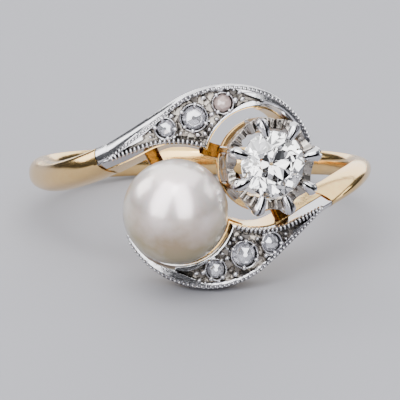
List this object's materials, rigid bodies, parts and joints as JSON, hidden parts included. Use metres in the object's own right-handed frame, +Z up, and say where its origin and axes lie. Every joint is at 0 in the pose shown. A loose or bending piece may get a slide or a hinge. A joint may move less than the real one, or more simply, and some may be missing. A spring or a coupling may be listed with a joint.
{
  "type": "toi et moi ring",
  "caption": "Gold crossover ring with a pearl and an old cut diamond side by side, each under a curved platinum leaf set with small rose cut diamonds.",
  "frame": {"origin": "centre of the bounding box at the surface that the ring rests on", "axes": "+Z up from the surface that the ring lies on; -Y from the ring's middle towards its head, the side that the picture shows; +X to the right as the picture sees it"},
  "size_m": [0.0202, 0.0246, 0.0115],
  "materials": {
    "gold": "polished yellow gold of a pale, slightly rosy shade, with soft wear",
    "platinum": "polished platinum, bright on its bevels and grey in its sunk floors",
    "diamond": "clear cut stone with polished facets",
    "pearl": "pearl lustre, cream with a warm tint below",
    "rose_diamond": "clear rose cut stone over a closed grey seat"
  },
  "bodies": {
    "root": {"shank": "gold", "upper_leaf": "platinum", "lower_leaf": "platinum", "diamond_collet": "platinum", "diamond": "diamond", "pearl": "pearl", "rose_diamond_1": "rose_diamond", "rose_diamond_2": "rose_diamond", "rose_diamond_3": "rose_diamond", "rose_diamond_4": "rose_diamond", "rose_diamond_5": "rose_diamond", "rose_diamond_6": "rose_diamond"}
  },
  "joints": []
}
